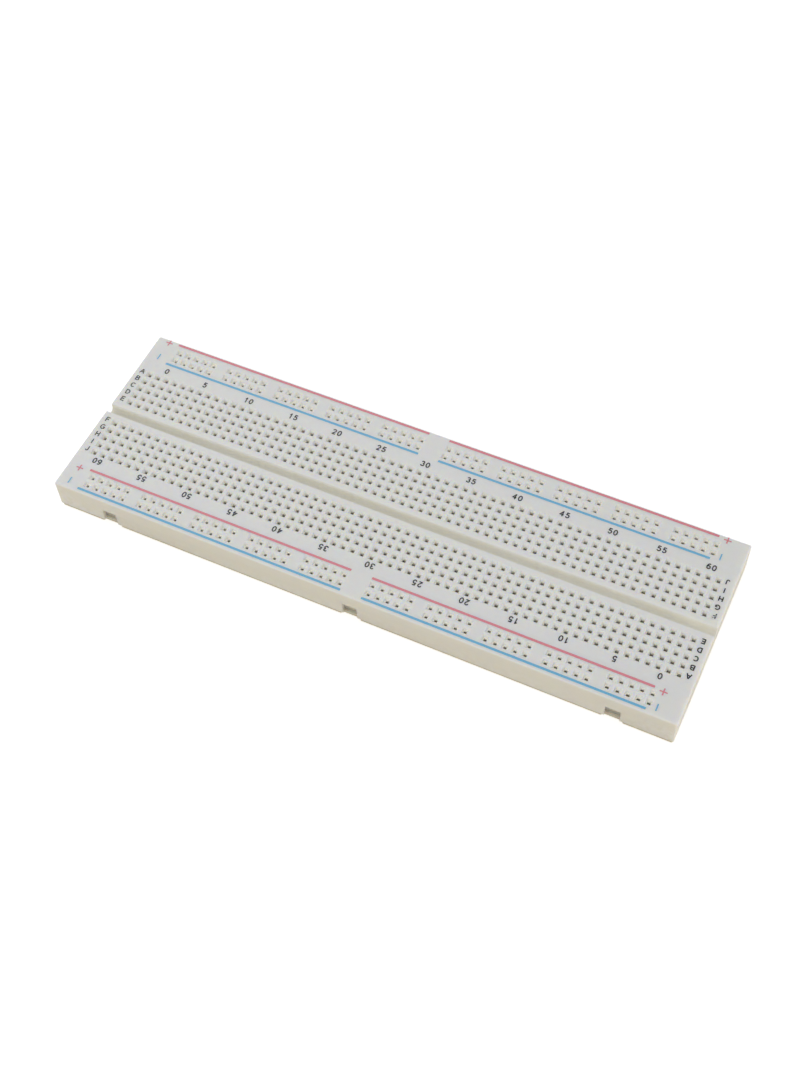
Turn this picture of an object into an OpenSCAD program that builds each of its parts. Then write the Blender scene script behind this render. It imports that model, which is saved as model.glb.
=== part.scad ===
// Solderless breadboard: a terminal strip between two bus strips, joined by dovetails.
// Origin: middle of the tie-point grid on the bottom face. +X along the board, +Y to the
// side with row A, +Z up.

/* [Tie points] */
// Spacing of the tie points
pitch = 2.54; // [2.5:0.01:2.6]
// Columns of the terminal strip
columns = 63; // [30:1:63]
// Tie points in one column of one bank
bank_rows = 5; // [5:1:6]
// Middle row to middle row across the centre groove
bank_gap = 7.62; // [7.2:0.02:8]
// Width of a square lead-in at the top face
funnel_w = 1.9; // [1.5:0.05:2]
// Depth of the lead-in
funnel_d = 0.6; // [0.4:0.05:1]
// Width of the square throat under the lead-in
throat_w = 0.9; // [0.8:0.05:1.2]

/* [Housings] */
// Last column to the end of the board
end_margin = 4.1; // [3.8:0.05:4.5]
// Width of the terminal strip, seam to seam
terminal_w = 36; // [35.5:0.1:37]
// Width of a bus strip
bus_w = 8.65; // [8.6:0.05:9.5]
// Height of the mouldings
housing_h = 8.5; // [8:0.1:10]
// Plastic left over the clips
roof_t = 1.6; // [1.4:0.05:2]
// Gap between neighbouring strips
seam = 0.1; // [0.05:0.01:0.2]
// Width of the centre groove
groove_w = 2.5; // [2:0.1:3]
// Depth of the centre groove
groove_d = 2.2; // [1.5:0.1:3]
// Radius in the corners at the bottom of the groove
groove_r = 0.8; // [0.4:0.1:0.9]

/* [Dovetails] */
// Width of a dovetail slot at its mouth
slot_mouth = 3.75; // [3.5:0.05:4]
// Width of a dovetail slot at its back
slot_back = 4.55; // [4.4:0.05:5]
// Depth of a dovetail slot
slot_d = 1.5; // [1.3:0.05:1.6]
// Height of a dovetail slot, from the underside of the housing
slot_h = 4.1; // [3.5:0.1:4.5]
// Running clearance round a dovetail tab
tab_fit = 0.1; // [0.05:0.01:0.2]
// Middle of an outer dovetail to the end of the board
dovetail_inset = 15.15; // [12:0.05:16]

/* [Spring clips] */
// Sheet thickness of the clips
leaf_t = 0.2; // [0.15:0.01:0.25]
// Width of a clip across its walls
clip_w = 1.8; // [1.7:0.02:1.86]
// Height of a clip
clip_h = 6.8; // [6.4:0.05:6.85]
// Gap between the two leaves of a contact
leaf_gap = 0.06; // [0.04:0.01:0.1]
// Slit between two contacts of a clip
slit_w = 0.4; // [0.3:0.05:0.6]
// Width of the pocket that holds a clip
pocket_w = 2; // [1.9:0.02:2.1]

/* [Backing] */
// Thickness of the adhesive foam
pad_t = 0.9; // [0.6:0.05:1.2]
// Foam set back from the edges of its strip
pad_inset = 0.3; // [0.2:0.05:0.6]
// Thickness of the release liner
liner_t = 0.1; // [0.08:0.01:0.2]

/* [Hidden] */
// Heights of the faces, from the bottom up
pad_z = liner_t;
housing_z = pad_z + pad_t;
top_z = housing_z + housing_h;
pocket_top_z = top_z - roof_t;

// The board in plan
board_l = (columns - 1) * pitch + 2 * end_margin;
bank_y = bank_gap / 2 + (bank_rows - 1) / 2 * pitch;
bus_y = (terminal_w + bus_w) / 2;
board_w = terminal_w + 2 * bus_w;

// Bus tie points stand in groups of five, half a pitch off the terminal columns
bus_rows = 2;
group_points = 5;
bus_start = 1.5;
bus_groups = floor((columns / 2 - bus_start + 1) / (group_points + 1));
bus_places = bus_groups * (group_points + 1) - 1;
bus_mid_x = (bus_start + (bus_places - 1) / 2) * pitch;

// Dovetails along the board
dovetail_xs = [-1, 0, 1] * (board_l / 2 - dovetail_inset);
tab_neck = slot_mouth - 2 * tab_fit;
tab_end = slot_back - 2 * tab_fit;
tab_d = slot_d - tab_fit;
tab_h = slot_h - tab_fit;

// Spring clip section: a narrow foot, a belly, and leaves that lean in to the tips
clip_base_t = 0.25;
foot_w = 1.1;
belly_h = 0.7;
slit_from_h = 1.3;
pocket_end_gap = 0.1;

// Lengths that only let cuts run past the faces they cut
over = 1;
comb_rise = 0.2;

// Terminal clips are handled in groups of five columns
clip_group = 5;
groups = ceil(columns / clip_group);

function two_digits(n) = n < 10 ? str("0", n) : str(n);
function last_column(g) = min((g + 1) * clip_group, columns);
function group_name(bank, g) =
    str(bank, "_clips_", two_digits(g * clip_group + 1), "_", two_digits(last_column(g)));

rear_clip_names = [for (g = [0 : groups - 1]) group_name("rear", g)];
front_clip_names = [for (g = [0 : groups - 1]) group_name("front", g)];

// Bus clips: [strip, row, half], -1 is front or left and 1 is rear or right
bus_clips = [for (strip = [-1, 1], row = [-1, 1], half = [-1, 1]) [strip, row, half]];
function bus_clip_name(c) =
    str(c[0] < 0 ? "front" : "rear", "_bus_clip_", c[1] < 0 ? "minus" : "plus",
        c[2] < 0 ? "_left" : "_right");
bus_clip_names = [for (c = bus_clips) bus_clip_name(c)];

// Centres of the tie points
function column_x(c) = (c - (columns - 1) / 2) * pitch;
column_xs = [for (c = [0 : columns - 1]) column_x(c)];
bank_ys = [for (bank = [-1, 1], r = [0 : bank_rows - 1])
    bank * bank_y + (r - (bank_rows - 1) / 2) * pitch];
bus_row_ys = [for (r = [0 : bus_rows - 1]) (r - (bus_rows - 1) / 2) * pitch];
bus_half_xs = [for (g = [0 : bus_groups - 1], p = [0 : group_points - 1])
    (bus_start + g * (group_points + 1) + p) * pitch];
bus_left_xs = [for (i = [len(bus_half_xs) - 1 : -1 : 0]) -bus_half_xs[i]];
bus_xs = concat(bus_left_xs, bus_half_xs);

// ---- Tie-point holes ----

// One lead-in and its throat, seen from the side, as a tooth that hangs from a bar
function tooth(centre) =
    let (
        slope = (funnel_w - throat_w) / 2 / funnel_d,
        wide = funnel_w / 2 + slope * comb_rise,
        narrow = throat_w / 2
    )
    [
        [centre - wide, top_z + comb_rise],
        [centre - narrow, top_z - funnel_d],
        [centre - narrow, pocket_top_z - over / 4],
        [centre + narrow, pocket_top_z - over / 4],
        [centre + narrow, top_z - funnel_d],
        [centre + wide, top_z + comb_rise]
    ];

function comb_outline(centres) =
    let (
        first = centres[0] - pitch,
        last = centres[len(centres) - 1] + pitch
    )
    concat(
        [[first, top_z + over], [first, top_z + comb_rise]],
        [for (centre = centres) each tooth(centre)],
        [[last, top_z + comb_rise], [last, top_z + over]]
    );

// Square funnels at every crossing of xs and ys
module tie_points(xs, ys) {
    reach_x = 2 * max(-xs[0], xs[len(xs) - 1]) + 3 * pitch;
    reach_y = 2 * max(-ys[0], ys[len(ys) - 1]) + 3 * pitch;
    intersection() {
        rotate([90, 0, 0])
            linear_extrude(reach_y, center = true)
                polygon(comb_outline(xs));
        rotate([90, 0, 90])
            linear_extrude(reach_x, center = true)
                polygon(comb_outline(ys));
    }
}

// ---- Housings ----

module strip_block(width) {
    translate([-board_l / 2, -width / 2, housing_z])
        cube([board_l, width, housing_h]);
}

// A pocket open to the underside, centred on the place where it is drawn
module clip_pocket(length_x, length_y) {
    translate([-length_x / 2, -length_y / 2, housing_z - over])
        cube([length_x, length_y, pocket_top_z - housing_z + over]);
}

// Tabs that stand out of the rear side of a strip
module dovetail_tabs(width) {
    for (x = dovetail_xs)
        translate([x, width / 2, housing_z])
            linear_extrude(tab_h)
                polygon([
                    [-tab_neck / 2, -over / 2],
                    [tab_neck / 2, -over / 2],
                    [tab_neck / 2, seam],
                    [tab_end / 2, seam + tab_d],
                    [-tab_end / 2, seam + tab_d],
                    [-tab_neck / 2, seam]
                ]);
}

// Slots in the front side of a strip, open to the underside
module dovetail_slots(width) {
    for (x = dovetail_xs)
        translate([x, -width / 2, housing_z - over])
            linear_extrude(slot_h + over)
                polygon([
                    [-slot_mouth / 2, -over],
                    [slot_mouth / 2, -over],
                    [slot_mouth / 2, 0],
                    [slot_back / 2, slot_d],
                    [-slot_back / 2, slot_d],
                    [-slot_mouth / 2, 0]
                ]);
}

// The groove along the middle, with round corners at its bottom
module centre_groove() {
    bottom = top_z - groove_d;
    corner_y = groove_w / 2 - groove_r;
    translate([-board_l, 0, bottom])
        rotate([90, 0, 90])
            linear_extrude(2 * board_l)
                union() {
                    translate([-groove_w / 2, groove_r])
                        square([groove_w, groove_d - groove_r + over]);
                    translate([-corner_y, 0])
                        square([2 * corner_y, groove_r + over]);
                    for (side = [-1, 1])
                        translate([side * corner_y, groove_r])
                            circle(groove_r, $fn = 48);
                }
}

module terminal_housing() {
    width = terminal_w - seam;
    pocket_l = bank_rows * pitch - slit_w + 2 * pocket_end_gap;
    color("ivory")
        difference() {
            union() {
                strip_block(width);
                dovetail_tabs(width);
            }
            tie_points(column_xs, bank_ys);
            for (x = column_xs, bank = [-1, 1])
                translate([x, bank * bank_y, 0])
                    clip_pocket(pocket_w, pocket_l);
            centre_groove();
            dovetail_slots(width);
        }
}

module bus_housing(side) {
    width = bus_w - seam;
    pocket_l = bus_places * pitch - slit_w + 2 * pocket_end_gap;
    color("ivory")
        translate([0, side * bus_y, 0])
            difference() {
                union() {
                    strip_block(width);
                    dovetail_tabs(width);
                }
                tie_points(bus_xs, bus_row_ys);
                for (y = bus_row_ys, half = [-1, 1])
                    translate([half * bus_mid_x, y, 0])
                        clip_pocket(pocket_l, pocket_w);
                dovetail_slots(width);
            }
}

// ---- Spring clips ----

// Half of the clip's section, from its foot round the tip and back down the inside
function half_clip(side) = [
    [side * foot_w / 2, 0],
    [side * clip_w / 2, belly_h],
    [side * (leaf_gap / 2 + leaf_t), clip_h],
    [side * leaf_gap / 2, clip_h],
    [side * (clip_w / 2 - leaf_t), belly_h + leaf_t / 4],
    [side * (foot_w / 2 - leaf_t / 2), clip_base_t]
];

function reversed(list) = [for (i = [len(list) - 1 : -1 : 0]) list[i]];

// A bent strip along Y with a pair of spring leaves at each contact
module spring_clip(contacts) {
    length = contacts * pitch - slit_w;
    difference() {
        rotate([90, 0, 0])
            linear_extrude(length, center = true)
                polygon(concat(half_clip(1), reversed(half_clip(-1))));
        for (s = [1 : contacts - 1])
            translate([-clip_w, (s - contacts / 2) * pitch - slit_w / 2, slit_from_h])
                cube([2 * clip_w, slit_w, clip_h]);
    }
}

module terminal_clips(g, bank) {
    color("silver")
        for (c = [g * clip_group : last_column(g) - 1])
            translate([column_x(c), bank * bank_y, housing_z])
                spring_clip(bank_rows);
}

module bus_clip(c) {
    color("silver")
        translate([c[2] * bus_mid_x, c[0] * bus_y + c[1] * pitch / 2, housing_z])
            rotate([0, 0, 90])
                spring_clip(bus_places);
}

// ---- Backing ----

// Clears the way up to the slots in the front side of a strip or board this wide
module dovetail_notches(width) {
    notch_w = slot_back + 2 * pad_inset;
    notch_d = slot_d + pad_inset;
    for (x = dovetail_xs)
        translate([x - notch_w / 2, -width / 2 - over, -over])
            cube([notch_w, notch_d + over, housing_z + 2 * over]);
}

// Foam under one strip, notched so that a neighbour's tabs can pass
module foam_pad(width, y) {
    color("whitesmoke")
        translate([0, y, pad_z])
            difference() {
                translate([pad_inset - board_l / 2, pad_inset - width / 2, 0])
                    cube([board_l - 2 * pad_inset, width - 2 * pad_inset, pad_t]);
                dovetail_notches(width);
            }
}

module terminal_pad() {
    foam_pad(terminal_w - seam, 0);
}

module bus_pad(side) {
    foam_pad(bus_w - seam, side * bus_y);
}

module release_liner() {
    color("wheat")
        difference() {
            translate([pad_inset - board_l / 2, pad_inset - board_w / 2, 0])
                cube([board_l - 2 * pad_inset, board_w - 2 * pad_inset, liner_t]);
            dovetail_notches(board_w - seam);
        }
}

terminal_housing();
bus_housing(1);  // rear_bus_housing
bus_housing(-1);  // front_bus_housing
for (g = [0 : groups - 1]) {
    terminal_clips(g, 1);
    terminal_clips(g, -1);
}
for (i = [0 : len(bus_clips) - 1])
    bus_clip(bus_clips[i]);
terminal_pad();
bus_pad(1);  // rear_bus_pad
bus_pad(-1);  // front_bus_pad
release_liner();
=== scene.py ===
"""Looks of the solderless breadboard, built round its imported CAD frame. Metres, +Z up."""

import math

import bmesh
import bpy
from mathutils import Matrix, Vector, noise
from mathutils.geometry import delaunay_2d_cdt


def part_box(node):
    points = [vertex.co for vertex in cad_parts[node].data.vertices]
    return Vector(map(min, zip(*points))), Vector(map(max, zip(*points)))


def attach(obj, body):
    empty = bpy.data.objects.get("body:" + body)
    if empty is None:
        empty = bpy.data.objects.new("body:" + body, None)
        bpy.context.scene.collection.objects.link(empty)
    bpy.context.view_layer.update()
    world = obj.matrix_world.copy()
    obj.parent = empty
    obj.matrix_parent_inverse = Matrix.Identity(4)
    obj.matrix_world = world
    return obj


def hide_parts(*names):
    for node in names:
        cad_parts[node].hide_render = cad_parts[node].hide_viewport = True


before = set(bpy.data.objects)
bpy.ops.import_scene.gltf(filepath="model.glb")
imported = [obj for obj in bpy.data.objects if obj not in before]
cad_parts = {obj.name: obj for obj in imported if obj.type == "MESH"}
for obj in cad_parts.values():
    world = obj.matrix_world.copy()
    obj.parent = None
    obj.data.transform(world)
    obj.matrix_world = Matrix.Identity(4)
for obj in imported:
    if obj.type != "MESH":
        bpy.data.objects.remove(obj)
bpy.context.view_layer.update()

MM = 0.001

# ---- Layout, from the frame ----

PITCH = 2.54 * MM
TERMINAL_LOW, TERMINAL_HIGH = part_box("terminal_housing")
TOP = TERMINAL_HIGH.z
HALF_LENGTH = TERMINAL_HIGH.x
BANK_ROWS = 5
BANK_EDGE_Y = 1.5 * PITCH

# The boxes of the terminal strip and the rear bus strip include the tabs at their rear, so the Y of
# both long sides comes from the front of the terminal strip and of the front bus strip
SEAM = 0.1 * MM
TERMINAL_SIDE_Y = -TERMINAL_LOW.y
BUS_OUTER_Y = -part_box("front_bus_housing")[0].y
BUS_INNER_Y = TERMINAL_SIDE_Y + SEAM
GROOVE_HALF = 1.25 * MM

BODY_TERMINAL = "terminal_strip"
BODY_FRONT = "front_bus_strip"
BODY_REAR = "rear_bus_strip"
BODY_LINER = "release_liner"


def row_y(row):
    """Y of a terminal row, from 0 at the rear to 9 at the front."""
    bank, place = divmod(row, BANK_ROWS)
    if bank == 0:
        return BANK_EDGE_Y + (BANK_ROWS - 1 - place) * PITCH
    return -BANK_EDGE_Y - place * PITCH


# ---- Camera, first, because everything is looked at through it ----

FOCAL_IN_HEIGHTS = 1.4356
SENSOR_HEIGHT = 36.0
CAMERA_AT = Vector((102.76, -192.91, 324.37)) * MM
CAMERA_FORWARD = Vector((-0.25691, 0.49294, -0.83126))
CAMERA_RIGHT = Vector((0.90500, 0.42450, -0.02797))


def make_camera():
    data = bpy.data.cameras.new("camera")
    data.sensor_fit = "VERTICAL"
    data.sensor_height = SENSOR_HEIGHT
    data.lens = FOCAL_IN_HEIGHTS * SENSOR_HEIGHT
    data.clip_start = 10 * MM
    camera = bpy.data.objects.new("camera", data)
    bpy.context.scene.collection.objects.link(camera)
    forward = CAMERA_FORWARD.normalized()
    right = CAMERA_RIGHT.normalized()
    up = right.cross(forward)
    turn = Matrix((right, up, -forward)).transposed().to_4x4()
    camera.matrix_world = Matrix.Translation(CAMERA_AT) @ turn
    bpy.context.scene.camera = camera


# ---- Material helpers ----


class Shader:
    """A material with a Principled BSDF, and short ways to add nodes to it."""

    def __init__(self, name, roughness, **sockets):
        self.material = bpy.data.materials.new(name)
        self.material.use_nodes = True
        self.tree = self.material.node_tree
        self.bsdf = self.tree.nodes["Principled BSDF"]
        self.bsdf.inputs["Roughness"].default_value = roughness
        for socket, value in sockets.items():
            self.bsdf.inputs[socket.replace("_", " ")].default_value = value
        self.place = self.tree.nodes.new("ShaderNodeTexCoord").outputs["Object"]

    def link(self, output, target):
        self.tree.links.new(output, target)

    def noise(self, size, detail=3.0, stretch=(1, 1, 1)):
        """Noise from 0 to 1 with features about size metres across."""
        mapping = self.tree.nodes.new("ShaderNodeMapping")
        mapping.inputs["Scale"].default_value = [s / size for s in stretch]
        texture = self.tree.nodes.new("ShaderNodeTexNoise")
        texture.inputs["Scale"].default_value = 1.0
        texture.inputs["Detail"].default_value = detail
        self.link(self.place, mapping.inputs["Vector"])
        self.link(mapping.outputs["Vector"], texture.inputs["Vector"])
        return texture.outputs["Fac"]

    def remap(self, value, low, high, to_low, to_high):
        """Carries low..high over to to_low..to_high, and clamps outside it."""
        node = self.tree.nodes.new("ShaderNodeMapRange")
        node.inputs["From Min"].default_value = low
        node.inputs["From Max"].default_value = high
        node.inputs["To Min"].default_value = to_low
        node.inputs["To Max"].default_value = to_high
        self.link(value, node.inputs["Value"])
        return node.outputs["Result"]

    def math(self, operation, a, b):
        """A sum of a and b, which are numbers or sockets, clamped to 0..1."""
        node = self.tree.nodes.new("ShaderNodeMath")
        node.operation = operation
        node.use_clamp = True
        for socket, value in zip(node.inputs, (a, b)):
            if isinstance(value, (int, float)):
                socket.default_value = value
            else:
                self.link(value, socket)
        return node.outputs["Value"]

    def mix(self, factor, first, second):
        """Colour between first and second, which are colours or sockets."""
        node = self.tree.nodes.new("ShaderNodeMix")
        node.data_type = "RGBA"
        self.link(factor, node.inputs["Factor"])
        for socket, value in ((node.inputs[6], first), (node.inputs[7], second)):
            if isinstance(value, tuple):
                socket.default_value = (*value, 1)
            else:
                self.link(value, socket)
        return node.outputs[2]

    def xyz(self):
        """The three coordinates, in the row frame."""
        node = self.tree.nodes.new("ShaderNodeSeparateXYZ")
        self.link(self.place, node.inputs["Vector"])
        return node.outputs["X"], node.outputs["Y"], node.outputs["Z"]

    def edges(self, low, high):
        """1 on convex edges, 0 on flats and hollows."""
        geometry = self.tree.nodes.new("ShaderNodeNewGeometry")
        return self.remap(geometry.outputs["Pointiness"], low, high, 0, 1)

    def colour(self, output):
        self.link(output, self.bsdf.inputs["Base Color"])

    def roughness(self, output):
        self.link(output, self.bsdf.inputs["Roughness"])

    def bump(self, *layers):
        """Stacks bumps; each layer is (height output, depth in metres)."""
        normal = None
        for height, depth in layers:
            node = self.tree.nodes.new("ShaderNodeBump")
            node.inputs["Distance"].default_value = depth
            node.inputs["Strength"].default_value = 1.0
            self.link(height, node.inputs["Height"])
            if normal is not None:
                self.link(normal, node.inputs["Normal"])
            normal = node.outputs["Normal"]
        self.link(normal, self.bsdf.inputs["Normal"])


# ---- Materials ----

PLASTIC_LIGHT = (0.950, 0.945, 0.915)
PLASTIC_DEEP = (0.925, 0.915, 0.870)
PLASTIC_WORN = (0.960, 0.955, 0.935)
# Painted shade: the darker, yellower colours that the plastic takes below its top face and in the groove
PLASTIC_SUNK_SHADE = (0.870, 0.857, 0.785)
PLASTIC_GROOVE_SHADE = (0.880, 0.855, 0.745)

# Painted light: an emission on the walls of the throats, stronger in the narrow bus strips, and on the
# walls of the slots, standing in for light that the plastic carries to them
THROAT_LIGHT = 0.12
BUS_THROAT_SHARE = 2.3
SLOT_LIGHT = 0.08
SLOT_TOP = 5.2 * MM
SLOT_DEPTH = 1.5 * MM

# How translucent the plastic is in general, at a seam, and as a share of that beside the groove
TRANSLUCENCY = 0.8
SEAM_TRANSLUCENCY = 0.05
GROOVE_SHARE = 0.35
SEAM_FADE = 0.7 * MM
GROOVE_FADE = 0.8 * MM


def plastic():
    """Ivory ABS: slightly translucent, with a fine spark-eroded grain, faint mottling and polished edges.

    Below the top face it has a painted shade, darker and yellower, and most of all in the groove. The
    thin walls of the tie points and slots have a little painted light: an emission that stands in for
    light travelling through the plastic to them. It is least translucent beside the seams and the
    groove, where the light would leak out of the side.
    """
    shader = Shader(
        "ivory_abs",
        0.48,
        IOR=1.53,
        Subsurface_Scale=1.1 * MM,
        Subsurface_Radius=(1.0, 0.86, 0.60),
        Specular_IOR_Level=0.42,
        Emission_Color=(1.0, 0.96, 0.86, 1),
    )
    x, y, z = shader.xyz()
    along = shader.math("ABSOLUTE", x, 0)
    across = shader.math("ABSOLUTE", y, 0)

    clouds = shader.noise(18 * MM, detail=2)
    mottle = shader.noise(1.6 * MM, detail=4)
    grain = shader.noise(0.16 * MM, detail=2)
    flow = shader.noise(5 * MM, detail=3, stretch=(0.25, 1, 1))
    tone = shader.math("ADD", shader.math("MULTIPLY", clouds, 0.55), shader.math("MULTIPLY", mottle, 0.3))
    base = shader.mix(shader.remap(tone, 0.25, 0.65, 0, 1), PLASTIC_DEEP, PLASTIC_LIGHT)
    # Painted shade: below the top face the colour turns darker and yellower, most of all in the groove,
    # with a little mottling
    in_groove = shader.remap(across, GROOVE_HALF, GROOVE_HALF + 0.1 * MM, 1, 0)
    painted_shade_colour = shader.mix(in_groove, PLASTIC_SUNK_SHADE, PLASTIC_GROOVE_SHADE)
    painted_shade = shader.remap(z, TOP - 0.75 * MM, TOP - 0.05 * MM, 1, 0)
    painted_shade = shader.math("MULTIPLY", painted_shade, shader.remap(clouds, 0.3, 0.7, 1, 0.8))
    base = shader.mix(painted_shade, base, painted_shade_colour)
    rubbed = shader.math("MULTIPLY", shader.edges(0.51, 0.58), shader.remap(mottle, 0.4, 0.6, 0.2, 1))
    shader.colour(shader.mix(rubbed, base, PLASTIC_WORN))
    satin = shader.remap(shader.math("MULTIPLY", flow, grain), 0.1, 0.4, 0.40, 0.56)
    shader.roughness(shader.mix(rubbed, satin, (0.30, 0.30, 0.30)))
    shader.bump((flow, 0.006 * MM), (mottle, 0.004 * MM), (grain, 0.003 * MM))

    # Painted light: emission on the throat walls from about 0.5 to 1.7 mm below the top, kept away from the
    # groove, the outer sides and the ends
    throats = shader.remap(z, TOP - 1.75 * MM, TOP - 1.30 * MM, 0, THROAT_LIGHT)
    for value, far, near in (
        (z, TOP - 0.45 * MM, TOP - 0.90 * MM),
        (across, 1.4 * MM, 1.8 * MM),
        (across, BUS_OUTER_Y - 0.6 * MM, BUS_OUTER_Y - 1.0 * MM),
        (along, HALF_LENGTH - 0.6 * MM, HALF_LENGTH - 1.0 * MM),
    ):
        throats = shader.math("MULTIPLY", throats, shader.remap(value, far, near, 0, 1))
    in_bus = shader.remap(across, TERMINAL_SIDE_Y, TERMINAL_SIDE_Y + 1 * MM, 1, BUS_THROAT_SHARE)
    # Painted light: emission below the slot top, in the band between the slots' back wall and the outer
    # face
    slots = shader.remap(z, SLOT_TOP, SLOT_TOP + 0.2 * MM, SLOT_LIGHT, 0)
    slot_back_y = BUS_OUTER_Y - SLOT_DEPTH
    for far, near in (
        (BUS_OUTER_Y - 0.1 * MM, BUS_OUTER_Y - 0.3 * MM),
        (slot_back_y - 0.3 * MM, slot_back_y - 0.1 * MM),
    ):
        slots = shader.math("MULTIPLY", slots, shader.remap(across, far, near, 0, 1))
    painted_glow = shader.math("MAXIMUM", shader.math("MULTIPLY", throats, in_bus), slots)
    shader.link(painted_glow, shader.bsdf.inputs["Emission Strength"])

    inside_seam = shader.remap(across, TERMINAL_SIDE_Y - SEAM_FADE, TERMINAL_SIDE_Y, 1, 0)
    outside_seam = shader.remap(across, BUS_INNER_Y, BUS_INNER_Y + SEAM_FADE, 0, 1)
    beside_groove = shader.remap(across, GROOVE_HALF, GROOVE_HALF + GROOVE_FADE, GROOVE_SHARE, 1)
    clear = shader.math("MULTIPLY", shader.math("MAXIMUM", inside_seam, outside_seam), beside_groove)
    translucency = shader.remap(clear, 0, 1, SEAM_TRANSLUCENCY, TRANSLUCENCY)
    shader.link(translucency, shader.bsdf.inputs["Subsurface Weight"])
    return shader.material


def clip_metal():
    """Nickel-plated spring strip: drawn lines along the roll, a little tarnish."""
    shader = Shader("nickel_strip", 0.3, Metallic=1.0)
    rolled = shader.noise(0.9 * MM, detail=4, stretch=(1, 1, 9))
    tarnish = shader.noise(2.5 * MM, detail=3)
    tarnished = shader.remap(tarnish, 0.35, 0.7, 0, 1)
    shader.colour(shader.mix(tarnished, (0.74, 0.72, 0.68), (0.60, 0.54, 0.45)))
    shader.roughness(shader.remap(rolled, 0.3, 0.7, 0.22, 0.42))
    shader.bump((rolled, 0.004 * MM))
    return shader.material


def foam():
    """Closed-cell foam tape: fine cells and a dull skin."""
    shader = Shader("white_foam", 0.85, Subsurface_Weight=0.3, Subsurface_Scale=0.8 * MM)
    cells = shader.tree.nodes.new("ShaderNodeTexVoronoi")
    cells.inputs["Scale"].default_value = 1 / (0.22 * MM)
    shader.link(shader.place, cells.inputs["Vector"])
    pores = shader.remap(cells.outputs["Distance"], 0.0, 0.6, 0, 1)
    dirt = shader.noise(3 * MM, detail=4)
    body = shader.mix(shader.remap(dirt, 0.35, 0.7, 0, 1), (0.83, 0.80, 0.70), (0.74, 0.70, 0.59))
    shader.colour(shader.mix(shader.math("MULTIPLY", pores, 0.6), (0.60, 0.56, 0.46), body))
    shader.roughness(shader.remap(dirt, 0.3, 0.7, 0.78, 0.95))
    shader.bump((pores, 0.03 * MM), (dirt, 0.02 * MM))
    return shader.material


def paper():
    """Release paper: cream, with crossing fibres under a thin gloss of silicone."""
    shader = Shader("release_paper", 0.45, Coat_Weight=0.25, Coat_Roughness=0.25)
    along = shader.noise(0.5 * MM, detail=5, stretch=(0.18, 1, 1))
    across = shader.noise(0.5 * MM, detail=5, stretch=(1, 0.18, 1))
    fibres = shader.math("MAXIMUM", along, across)
    clouds = shader.noise(9 * MM, detail=3)
    base = shader.mix(shader.remap(clouds, 0.3, 0.7, 0, 1), (0.86, 0.80, 0.62), (0.91, 0.87, 0.72))
    shader.colour(shader.mix(shader.remap(fibres, 0.5, 0.75, 0, 0.5), base, (0.80, 0.72, 0.52)))
    shader.roughness(shader.remap(fibres, 0.4, 0.7, 0.38, 0.55))
    shader.bump((fibres, 0.006 * MM), (clouds, 0.03 * MM))
    return shader.material


def ink(name, colour, thin, cover):
    """Screen-printed ink. Thin is its colour where the film is thin, and cover is how much stays ink."""
    shader = Shader(name, 0.4, Specular_IOR_Level=0.45)
    film = shader.noise(0.35 * MM, detail=5)
    pinholes = shader.remap(shader.noise(0.08 * MM, detail=2), 0.70, 0.76, 0, 1)
    solid = shader.mix(shader.remap(film, 0.3, 0.7, 0, 1), colour, thin)
    gaps = shader.math("MAXIMUM", pinholes, shader.remap(film, cover, cover + 0.12, 0, 1))
    shader.colour(shader.mix(gaps, solid, PLASTIC_LIGHT))
    shader.roughness(shader.remap(film, 0.3, 0.7, 0.32, 0.5))
    shader.bump((film, 0.003 * MM))
    return shader.material


FLOOR_GLOW = 0.55
BOUNCE_COLOUR = (0.84, 0.75, 0.58)


def backdrop():
    """Matt white studio sweep, which looks white but throws only a soft warm light back up."""
    shader = Shader("studio_floor", 0.9)
    tooth = shader.noise(2 * MM, detail=4)
    seen = shader.tree.nodes.new("ShaderNodeLightPath").outputs["Is Camera Ray"]
    sheet = shader.mix(tooth, (0.86, 0.86, 0.86), (0.90, 0.90, 0.90))
    shader.colour(shader.mix(seen, BOUNCE_COLOUR, sheet))
    shader.bsdf.inputs["Emission Color"].default_value = (1, 1, 1, 1)
    shader.link(shader.math("MULTIPLY", seen, FLOOR_GLOW), shader.bsdf.inputs["Emission Strength"])
    shader.bump((tooth, 0.02 * MM))
    return shader.material


# ---- Mesh helpers ----


def add_piece(name, bm, material, body):
    """Makes an object from bm, in the row frame, that rides on body."""
    bmesh.ops.recalc_face_normals(bm, faces=bm.faces)
    mesh = bpy.data.meshes.new(name)
    bm.to_mesh(mesh)
    bm.free()
    mesh.materials.append(material)
    piece = bpy.data.objects.new(name, mesh)
    bpy.context.scene.collection.objects.link(piece)
    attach(piece, body)
    return piece


def arc(centre_x, centre_y, radius_x, radius_y, start, stop, steps=14):
    """Points on an ellipse from start to stop, in degrees."""
    angles = [math.radians(start + (stop - start) * i / steps) for i in range(steps + 1)]
    return [(centre_x + radius_x * math.cos(a), centre_y + radius_y * math.sin(a)) for a in angles]


# ---- Mouldings: the CAD housings with real radii on their edges ----

EDGE_RADIUS = 0.32 * MM
GROOVE_RADIUS = 0.25 * MM
LIP_RADIUS = 0.10 * MM
SEAM_CLOSES = 0.047 * MM
EDGE_BAND = 0.60 * MM
TOUCH = 0.01 * MM
FLAT_ANGLE = math.radians(0.5)
SHARP_ANGLE = math.radians(20)
FACES_DOWN = -0.5
UPRIGHT = 0.1
STRAIGHT = 0.99999
AXES = (Vector((1, 0, 0)), Vector((0, 1, 0)), Vector((0, 0, 1)))


def lies_at(item, axis, value):
    """Whether a face or an edge lies in the plane where its axis coordinate has this value."""
    return all(abs(v.co[axis] - value) < TOUCH for v in item.verts)


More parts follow.
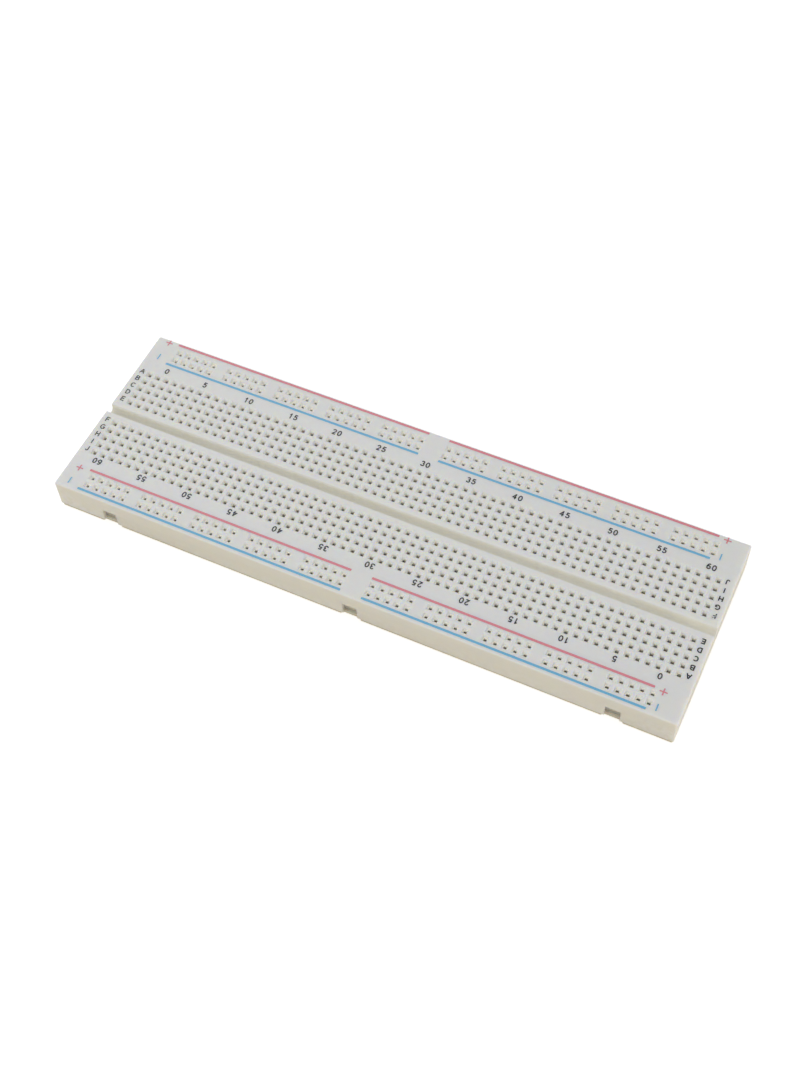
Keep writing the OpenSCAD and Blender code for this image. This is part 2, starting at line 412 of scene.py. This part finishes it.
def cut(bm, faces, axis, values):
    """Cuts faces along planes across an axis, and returns them with the new ones."""
    geometry = set(faces)
    for face in faces:
        geometry.update(face.edges, face.verts)
    geometry = list(geometry)
    for value in values:
        result = bmesh.ops.bisect_plane(
            bm, geom=geometry, dist=TOUCH / 10, plane_co=AXES[axis] * value, plane_no=AXES[axis]
        )
        geometry = result["geom"]
    return [item for item in geometry if isinstance(item, bmesh.types.BMFace)]


def lattice_lines(bm, axis):
    """Where the sides of the holes and of the outline in the top face cross an axis."""
    return sorted({round(v.co[axis], 6) for v in bm.verts if abs(v.co.z - TOP) < TOUCH})


def tidy_flats(bm):
    """Joins the triangles of each flat that was cut into rectangles."""
    loose = []
    for edge in bm.edges:
        if len(edge.link_faces) != 2 or edge.calc_face_angle() > FLAT_ANGLE:
            continue
        along = (edge.verts[1].co - edge.verts[0].co).normalized()
        slanted = max(abs(c) for c in along) < STRAIGHT
        if slanted and edge.link_faces[0].normal.z > FACES_DOWN:
            loose.append(edge)
    bmesh.ops.dissolve_edges(bm, edges=loose, use_verts=True)


def seam_way(y):
    """Which way along Y a face looks into its seam: out on the terminal strip, in on a bus strip."""
    outward = math.copysign(1, y)
    return outward if abs(abs(y) - TERMINAL_SIDE_Y) < TOUCH else -outward


def moulding(node, body, sides, seams, material):
    """A housing, rounded where two outer sides meet, less at other edges, and not at its seams.

    Sides are (axis, value). Seams are the Y of the faces against a neighbour, which are moved up to it.
    """
    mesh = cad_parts[node].data.copy()
    bm = bmesh.new()
    bm.from_mesh(mesh)
    bpy.data.meshes.remove(mesh)
    bmesh.ops.remove_doubles(bm, verts=bm.verts, dist=TOUCH / 10)
    bm.normal_update()
    top_faces = [f for f in bm.faces if lies_at(f, 2, TOP)]
    bands = {0: [], 1: []}
    for axis, value in sides:
        bands[axis].append(value - math.copysign(EDGE_BAND, value))
    if node == "terminal_housing":
        bands[1] += [-GROOVE_HALF - EDGE_BAND, GROOVE_HALF + EDGE_BAND]
    side_faces = [f for f in bm.faces if any(lies_at(f, axis, value) for axis, value in sides)]
    lines = {axis: lattice_lines(bm, axis) for axis in (0, 1)}
    for axis in (0, 1):
        top_faces = cut(bm, top_faces, axis, lines[axis] + bands[axis])
    for axis, values in ((0, bands[0]), (1, bands[1]), (2, [TOP - EDGE_BAND])):
        side_faces = cut(bm, side_faces, axis, values)
    bm.normal_update()
    tidy_flats(bm)

    weights = bm.edges.layers.float.new("bevel_weight_edge")
    underside = min(v.co.z for v in bm.verts)
    planes = [*sides, (2, TOP)]
    for edge in bm.edges:
        if len(edge.link_faces) != 2 or edge.calc_face_angle() < SHARP_ANGLE:
            continue
        if all(f.normal.z < FACES_DOWN or abs(f.normal.z) < UPRIGHT for f in edge.link_faces):
            if not any(lies_at(edge, axis, value) for axis, value in sides):
                continue
        radius = LIP_RADIUS
        if lies_at(edge, 2, TOP) and lies_at(edge, 1, GROOVE_HALF):
            radius = GROOVE_RADIUS
        if sum(lies_at(edge, axis, value) for axis, value in planes) >= 2:
            radius = EDGE_RADIUS
        if lies_at(edge, 2, underside):
            radius = LIP_RADIUS
        if any(lies_at(edge, 1, y) for y in seams):
            radius = 0
        edge[weights] = radius / EDGE_RADIUS
    for face in bm.faces:
        face.smooth = not any(lies_at(face, 1, y) for y in seams)
    for vert in bm.verts:
        for y in seams:
            if abs(vert.co.y - y) < TOUCH:
                vert.co.y += SEAM_CLOSES * seam_way(y)
    piece = add_piece(f"{node}_moulding", bm, material, body)
    bevel = piece.modifiers.new("edge_radii", "BEVEL")
    bevel.limit_method = "WEIGHT"
    bevel.width = EDGE_RADIUS
    bevel.segments = 3
    bevel.use_clamp_overlap = False
    bevel.harden_normals = True
    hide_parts(node)
    return piece


def make_mouldings(material):
    ends = [(0, -HALF_LENGTH), (0, HALF_LENGTH)]
    moulding("terminal_housing", BODY_TERMINAL, ends, [-TERMINAL_SIDE_Y, TERMINAL_SIDE_Y], material)
    moulding("front_bus_housing", BODY_FRONT, [*ends, (1, -BUS_OUTER_Y)], [-BUS_INNER_Y], material)
    moulding("rear_bus_housing", BODY_REAR, [*ends, (1, BUS_OUTER_Y)], [BUS_INNER_Y], material)


# ---- Print: a stroke alphabet, cut as flat film ----

GLYPH_GAP = 0.42
ONE_GAP = 0.66

GLYPHS = {
    "0": [arc(0.29, 0.5, 0.29, 0.5, 0, 360, 28)],
    "1": [[(-0.04, 0.76), (0.14, 0.84), (0.24, 1.06)], [(0.24, 1.08), (0.24, -0.08)]],
    "2": [arc(0.28, 0.71, 0.27, 0.29, 172, -30) + [(0.02, 0.0)], [(-0.07, 0.0), (0.60, 0.0)]],
    "3": [
        arc(0.26, 0.76, 0.24, 0.24, 165, -90),
        arc(0.27, 0.26, 0.29, 0.26, 90, -165),
    ],
    "4": [[(0.42, 1.08), (0.42, -0.08)], [(0.42, 1.0), (-0.02, 0.30), (0.62, 0.30)]],
    "5": [[(0.55, 1.0), (0.12, 1.0), (0.05, 0.50)], arc(0.27, 0.32, 0.29, 0.32, 138, -160)],
    "6": [arc(0.29, 0.31, 0.28, 0.31, 0, 360, 24), arc(0.36, 0.34, 0.35, 0.66, 180, 62, 10)],
    "A": [[(-0.04, -0.08), (0.31, 1.06)], [(0.35, 1.06), (0.70, -0.08)], [(0.10, 0.33), (0.56, 0.33)]],
    "B": [
        [(0.0, -0.08), (0.0, 1.08)],
        [(0.0, 1.0)] + arc(0.30, 0.77, 0.23, 0.23, 90, -90, 8) + [(0.0, 0.54)],
        [(0.0, 0.54)] + arc(0.32, 0.27, 0.27, 0.27, 90, -90, 8) + [(0.0, 0.0)],
    ],
    "C": [arc(0.34, 0.5, 0.34, 0.5, 42, 318, 22)],
    "D": [
        [(0.0, -0.08), (0.0, 1.08)],
        [(0.0, 1.0)] + arc(0.22, 0.5, 0.40, 0.5, 90, -90, 12) + [(0.0, 0.0)],
    ],
    "E": [
        [(0.0, -0.08), (0.0, 1.08)],
        [(0.0, 1.0), (0.56, 1.0)],
        [(0.0, 0.52), (0.50, 0.52)],
        [(0.0, 0.0), (0.58, 0.0)],
    ],
    "F": [[(0.0, -0.08), (0.0, 1.08)], [(0.0, 1.0), (0.55, 1.0)], [(0.0, 0.50), (0.46, 0.50)]],
    "G": [
        arc(0.36, 0.5, 0.36, 0.5, 45, 318, 22),
        [(0.38, 0.44), (0.68, 0.44), (0.68, 0.02)],
    ],
    "H": [[(0.0, -0.08), (0.0, 1.08)], [(0.58, -0.08), (0.58, 1.08)], [(0.0, 0.52), (0.58, 0.52)]],
    "I": [[(0.0, -0.08), (0.0, 1.08)]],
    "J": [[(0.42, 1.08)] + arc(0.21, 0.22, 0.21, 0.22, 0, -175, 10)],
}


def ribbon(points, width):
    """Quads along a line of points, width across, with mitred joins and no ends if it closes on itself."""
    points = [Vector(p) for p in points]
    closed = (points[0] - points[-1]).length < 1e-6
    if closed:
        points.pop()
    count = len(points)
    sides = []
    for i, point in enumerate(points):
        before = points[(i - 1) % count] if closed or i > 0 else None
        after = points[(i + 1) % count] if closed or i < count - 1 else None
        entry = (point - before).normalized() if before is not None else (after - point).normalized()
        leave = (after - point).normalized() if after is not None else entry
        across = (entry.orthogonal() + leave.orthogonal()).normalized()
        reach = width / 2 / max(0.5, across.dot(entry.orthogonal()))
        sides.append((point + across * reach, point - across * reach))
    pairs = list(zip(sides, sides[1:] + sides[:1])) if closed else list(zip(sides, sides[1:]))
    return [(a[0], b[0], b[1], a[1]) for a, b in pairs]


def anticlockwise(quad):
    area = sum(a.x * b.y - b.x * a.y for a, b in zip(quad, quad[1:] + quad[:1]))
    return quad if area > 0 else tuple(reversed(quad))


def merged(quads):
    """One flat triangle mesh, as points and triangles, from quads that may overlap."""
    points = [corner for quad in quads for corner in anticlockwise(quad)]
    faces = [[4 * i + k for k in range(4)] for i in range(len(quads))]
    verts, _, triangles, _, _, sources = delaunay_2d_cdt(points, [], faces, 0, 1e-6)
    return verts, [t for t, source in zip(triangles, sources) if source]


def text_shapes(text, height, stroke, widen):
    """Quads of a line of text, centred on the origin, height tall over its strokes, stretched by widen."""
    rise = height / (1 + stroke)
    quads = []
    x = 0.0
    for letter in text:
        strokes = GLYPHS[letter]
        xs = [p[0] for s in strokes for p in s]
        for points in strokes:
            quads += ribbon([((px - min(xs)) * widen + x, py) for px, py in points], stroke)
        x += (max(xs) - min(xs)) * widen + (ONE_GAP if letter == "1" else GLYPH_GAP)
    middle = Vector(((x - GLYPH_GAP) / 2, 0.5))
    return [tuple((corner - middle) * rise for corner in quad) for quad in quads]


INK_BELOW = 0.004 * MM
INK_ABOVE = 0.016 * MM


def add_film(bm, quads, x, y, turned=False):
    """Adds a film of ink in the shape of quads, at x, y on the top face."""
    verts, triangles = merged(quads)
    sign = -1 if turned else 1
    levels = [
        [bm.verts.new((x + sign * v.x, y + sign * v.y, TOP + level)) for v in verts]
        for level in (-INK_BELOW, INK_ABOVE)
    ]
    under, upper = levels
    uses = {}
    for triangle in triangles:
        bm.faces.new([upper[i] for i in triangle])
        bm.faces.new([under[i] for i in reversed(triangle)])
        for a, b in zip(triangle, triangle[1:] + triangle[:1]):
            uses.setdefault(frozenset((a, b)), []).append((a, b))
    for sides in uses.values():
        if len(sides) == 1:
            a, b = sides[0]
            bm.faces.new((under[a], under[b], upper[b], upper[a]))


NUMBER_HEIGHT = 1.70 * MM
LETTER_HEIGHT = 1.50 * MM
NUMBER_STROKE = 0.205
LEFT_LETTER_STROKE = 0.19
RIGHT_LETTER_STROKE = 0.235
LETTER_WIDEN = 1.22
NUMBER_STEP = 5
REAR_NUMBER_Y = 16.7 * MM
FRONT_NUMBER_Y = -16.35 * MM
LEFT_LETTER_X = -80.95 * MM
RIGHT_LETTER_X = 80.9 * MM
LETTER_LIFT = 0.25 * MM
LETTERS = "ABCDEFGHIJ"

# The printed numbers wander a little off their columns: X of the middle of each, in mm, from 0 to 60
REAR_NUMBER_XS = (-74.9, -63.4, -50.3, -37.2, -24.6, -12.0, 0.4, 13.0, 25.6, 38.2, 50.8, 63.4, 76.0)
FRONT_NUMBER_XS = (74.9, 63.8, 51.1, 38.4, 25.8, 13.5, 0.8, -11.8, -24.6, -37.2, -50.2, -63.3, -76.4)


def print_numbers(material):
    """Column numbers in fives: along the rear, and turned round along the front."""
    for name, xs, y, turned in (
        ("rear_column_numbers", REAR_NUMBER_XS, REAR_NUMBER_Y, False),
        ("front_column_numbers", FRONT_NUMBER_XS, FRONT_NUMBER_Y, True),
    ):
        bm = bmesh.new()
        for place, x in enumerate(xs):
            shapes = text_shapes(str(place * NUMBER_STEP), NUMBER_HEIGHT, NUMBER_STROKE, 1.0)
            add_film(bm, shapes, x * MM, y, turned)
        add_piece(name, bm, material, BODY_TERMINAL)


def print_letters(material, faded):
    """Row letters at both ends. The right ones are turned round and bolder, and one is badly printed."""
    left = bmesh.new()
    right = bmesh.new()
    weak = bmesh.new()
    for row, letter in enumerate(LETTERS):
        shapes = text_shapes(letter, LETTER_HEIGHT, LEFT_LETTER_STROKE, LETTER_WIDEN)
        add_film(left, shapes, LEFT_LETTER_X, row_y(row) + LETTER_LIFT)
        shapes = text_shapes(letter, LETTER_HEIGHT, RIGHT_LETTER_STROKE, LETTER_WIDEN)
        target = weak if letter == "F" else right
        y = row_y(len(LETTERS) - 1 - row) + LETTER_LIFT
        add_film(target, shapes, RIGHT_LETTER_X, y, turned=True)
    add_piece("left_row_letters", left, material, BODY_TERMINAL)
    add_piece("right_row_letters", right, material, BODY_TERMINAL)
    add_piece("right_row_letter_f", weak, faded, BODY_TERMINAL)


LINE_WIDTH = 0.62 * MM
SIGN_SIZE = 1.95 * MM
SIGN_STROKE = 0.32 * MM
BROKEN_CORNER = 0.08 * MM

# Rail prints: each is (body, strip, colour, Y of the line, Y of the signs, X of the left sign)
RAILS = (
    (BODY_REAR, "rear", "red", 25.95 * MM, 25.6 * MM, -79.3 * MM),
    (BODY_REAR, "rear", "blue", 18.98 * MM, 20.35 * MM, -79.5 * MM),
    (BODY_FRONT, "front", "red", -19.4 * MM, -19.85 * MM, -79.4 * MM),
    (BODY_FRONT, "front", "blue", -25.5 * MM, -24.2 * MM, -79.7 * MM),
)
LINE_SPANS = ((-76.6 * MM, -2.7 * MM), (2.9 * MM, 74.8 * MM))
RIGHT_SIGN_X = 77.05 * MM


def bar(length_x, length_y):
    """A rectangle round the origin with its corners just broken, as one line of quads."""
    broken = min(BROKEN_CORNER, length_x / 4)
    half_x = length_x / 2
    half_y = length_y / 2
    inner_x = half_x - broken
    inner_y = half_y - broken
    stations = [(-half_x, inner_y), (-inner_x, half_y), (inner_x, half_y), (half_x, inner_y)]
    return [
        (Vector((x, -y)), Vector((next_x, -next_y)), Vector((next_x, next_y)), Vector((x, y)))
        for (x, y), (next_x, next_y) in zip(stations, stations[1:])
    ]


def print_rails(inks):
    """The coloured lines beside the bus rows, each broken in the middle, and their plus and minus signs."""
    for body, strip, colour, line_y, sign_y, left_sign_x in RAILS:
        lines = bmesh.new()
        for start, stop in LINE_SPANS:
            add_film(lines, bar(stop - start, LINE_WIDTH), (start + stop) / 2, line_y)
        add_piece(f"{strip}_{colour}_lines", lines, inks[colour], body)
        signs = bmesh.new()
        for x in (left_sign_x, RIGHT_SIGN_X):
            shapes = bar(SIGN_STROKE, SIGN_SIZE)
            if colour == "red":
                shapes = shapes + bar(SIGN_SIZE, SIGN_STROKE)
            add_film(signs, shapes, x, sign_y)
        add_piece(f"{strip}_{colour}_signs", signs, inks[colour], body)


# ---- Backing: die-cut foam and the release paper ----

FOAM_LEVELS = 6
FOAM_STEP = 0.9 * MM
FOAM_BULGE = 0.10 * MM
FOAM_CORNER = 0.25 * MM
FOAM_INSET = 0.6
FOAM_WANDER = 0.45
WANDER_SIZE = 1.7 * MM


def rounded_outline(corners, radius, steps=4):
    """Points round a closed outline of square corners, each rounded, with its long sides divided."""
    points = []
    count = len(corners)
    for i, corner in enumerate(corners):
        before = (corners[i - 1] - corner).normalized()
        after = (corners[(i + 1) % count] - corner).normalized()
        centre = corner + (before + after) * radius
        for k in range(steps + 1):
            angle = math.pi / 2 * k / steps
            offset = -after * math.cos(angle) - before * math.sin(angle)
            points.append(centre + offset * radius)
    dense = []
    for a, b in zip(points, points[1:] + points[:1]):
        parts = max(1, math.ceil((b - a).length / FOAM_STEP))
        dense += [a.lerp(b, k / parts) for k in range(parts)]
    return dense


def pad_corners(node, notch_depth=None):
    """Corners of a pad in plan, anticlockwise. Its notches are as deep as in CAD, or as given."""
    low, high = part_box(node)
    points = [v.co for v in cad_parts[node].data.vertices]
    inner = [p for p in points if low.x + TOUCH < p.x < high.x - TOUCH]
    notch_xs = sorted({round(p.x, 7) for p in inner})
    notch_y = max(p.y for p in inner if p.y < high.y - TOUCH)
    if notch_depth is not None:
        notch_y = low.y + notch_depth
    corners = [Vector((low.x, low.y))]
    for left, right in zip(notch_xs[::2], notch_xs[1::2]):
        corners += [Vector((left, low.y)), Vector((left, notch_y))]
        corners += [Vector((right, notch_y)), Vector((right, low.y))]
    corners += [Vector((high.x, low.y)), Vector((high.x, high.y)), Vector((low.x, high.y))]
    return corners


def foam_pad(node, body, material, notch_depth=None):
    """A pad of foam tape: its cut sides bulge and wander a little between its two flat skins."""
    low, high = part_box(node)
    outline = rounded_outline(pad_corners(node, notch_depth), FOAM_CORNER)
    count = len(outline)
    bm = bmesh.new()
    rings = []
    for level in range(FOAM_LEVELS + 1):
        share = level / FOAM_LEVELS
        z = low.z + (high.z - low.z) * share
        ring = []
        for i, point in enumerate(outline):
            side = outline[(i + 1) % count] - outline[i - 1]
            outward = Vector((side.y, -side.x)).normalized()
            wander = FOAM_WANDER * noise.noise(Vector((point.x, point.y, z)) / WANDER_SIZE)
            push = FOAM_BULGE * (math.sin(math.pi * share) - FOAM_INSET + wander)
            ring.append(bm.verts.new((*(point + outward * push), z)))
        rings.append(ring)
    for lower, upper in zip(rings, rings[1:]):
        for i in range(count):
            j = (i + 1) % count
            bm.faces.new((lower[i], lower[j], upper[j], upper[i]))
    bm.faces.new(rings[-1])
    bm.faces.new(list(reversed(rings[0])))
    piece = add_piece(f"{node}_foam", bm, material, body)
    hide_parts(node)


LINER_CORNER = 0.25 * MM

# No tab fills the slots along the front of the board, so there the foam and paper reach further out
OPEN_NOTCH = 0.6 * MM


def liner_sheet(node, body, material):
    """The release paper, die-cut with notches like those of the front foam and with round corners."""
    low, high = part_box(node)
    outline = rounded_outline(pad_corners(node, OPEN_NOTCH), LINER_CORNER, steps=6)
    bm = bmesh.new()
    upper = [bm.verts.new((p.x, p.y, high.z)) for p in outline]
    lower = [bm.verts.new((p.x, p.y, low.z)) for p in outline]
    count = len(outline)
    for i in range(count):
        j = (i + 1) % count
        bm.faces.new((lower[i], lower[j], upper[j], upper[i]))
    bm.faces.new(upper)
    bm.faces.new(list(reversed(lower)))
    piece = add_piece(f"{node}_paper", bm, material, body)
    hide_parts(node)


# ---- Stage and light ----

FLOOR_SIZE = 60.0

# The sky gives a dimmer light than it looks, so that what lies beyond the floor stays pale
WORLD_LIGHT = 0.42
WORLD_SEEN = 0.95


def make_floor(material):
    bm = bmesh.new()
    bmesh.ops.create_grid(bm, x_segments=8, y_segments=8, size=FLOOR_SIZE / 2)
    mesh = bpy.data.meshes.new("studio_floor")
    bm.to_mesh(mesh)
    bm.free()
    mesh.materials.append(material)
    floor = bpy.data.objects.new("studio_floor", mesh)
    bpy.context.scene.collection.objects.link(floor)


def soft_box(name, place, width, height, watts, colour):
    """A soft box at place that faces the board."""
    data = bpy.data.lights.new(name, "AREA")
    data.shape = "RECTANGLE"
    data.size = width
    data.size_y = height
    data.energy = watts
    data.color = colour
    light = bpy.data.objects.new(name, data)
    bpy.context.scene.collection.objects.link(light)
    light.location = place
    light.rotation_euler = (-Vector(place)).to_track_quat("-Z", "Y").to_euler()


def make_light():
    soft_box("key", (-0.45, 0.42, 0.62), 0.6, 0.6, 1.35, (0.95, 0.98, 1.0))
    soft_box("top_fill", (0.28, -0.40, 0.85), 0.7, 0.6, 0.6, (0.99, 1.0, 0.99))
    soft_box("front_fill", (-0.22, -0.60, 0.42), 0.8, 0.5, 1.25, (1.0, 0.965, 0.90))
    soft_box("end_fill", (0.60, -0.02, 0.05), 0.4, 0.08, 1.0, (1.0, 0.985, 0.95))
    world = bpy.data.worlds.new("studio")
    world.use_nodes = True
    background = world.node_tree.nodes["Background"]
    background.inputs["Color"].default_value = (0.97, 0.98, 1.0, 1)
    strength = world.node_tree.nodes.new("ShaderNodeMapRange")
    strength.inputs["To Min"].default_value = WORLD_LIGHT
    strength.inputs["To Max"].default_value = WORLD_SEEN
    paths = world.node_tree.nodes.new("ShaderNodeLightPath")
    world.node_tree.links.new(paths.outputs["Is Camera Ray"], strength.inputs["Value"])
    world.node_tree.links.new(strength.outputs["Result"], background.inputs["Strength"])
    bpy.context.scene.world = world
    bpy.context.scene.view_settings.view_transform = "Standard"


# ---- Assembly ----


def main():
    make_camera()
    make_light()
    make_floor(backdrop())
    make_mouldings(plastic())
    metal = clip_metal()
    for name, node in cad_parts.items():
        if "clip" in name:
            node.data.materials.clear()
            node.data.materials.append(metal)
    foam_material = foam()
    foam_pad("terminal_pad", BODY_TERMINAL, foam_material)
    foam_pad("front_bus_pad", BODY_FRONT, foam_material, OPEN_NOTCH)
    foam_pad("rear_bus_pad", BODY_REAR, foam_material)
    liner_sheet("release_liner", BODY_LINER, paper())
    black = ink("black_ink", (0.018, 0.018, 0.020), (0.045, 0.045, 0.048), 0.72)
    worn_black = ink("worn_black_ink", (0.03, 0.03, 0.032), (0.12, 0.12, 0.12), 0.50)
    print_numbers(black)
    print_letters(black, worn_black)
    print_rails(
        {
            "red": ink("red_ink", (0.85, 0.25, 0.30), (0.88, 0.33, 0.38), 0.8),
            "blue": ink("blue_ink", (0.17, 0.53, 0.82), (0.24, 0.59, 0.85), 0.8),
        }
    )


main()
